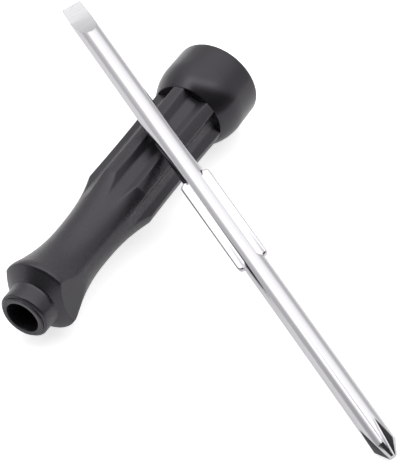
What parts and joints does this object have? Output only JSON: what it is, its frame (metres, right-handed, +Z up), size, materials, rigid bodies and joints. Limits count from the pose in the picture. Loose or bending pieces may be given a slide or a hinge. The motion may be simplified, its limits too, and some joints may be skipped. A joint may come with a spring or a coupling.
{
  "type": "two-way screwdriver",
  "caption": "Reversible screwdriver: fluted hollow plastic handle lying down, with its double-ended chrome blade drawn out and leaning across it.",
  "frame": {"origin": "on the bench, under the middle of the handle and blade as they lie", "axes": "+X along the handle from its nose to its cap, seen from above; +Y towards the raised flat tip of the blade; +Z up from the bench"},
  "size_m": [0.0954, 0.1314, 0.0335],
  "materials": {
    "grip_plastic": "black moulded plastic with a soft sheen",
    "cap_plastic": "black moulded plastic, smooth, with a soft sheen",
    "sleeve_plastic": "black moulded plastic",
    "spring_steel": "plain drawn wire",
    "chrome": "bright chrome, satin on the ground faces"
  },
  "bodies": {
    "handle": {"handle_grip": "grip_plastic", "end_cap": "cap_plastic", "socket_sleeve": "sleeve_plastic", "retaining_ring": "spring_steel"},
    "blade": {"blade": "chrome"}
  },
  "joints": [
    {"name": "blade_lift", "type": "slide", "parent": "handle", "child": "blade", "axis": [0, 0, 1], "range_m": [0, 0.06]}
  ]
}
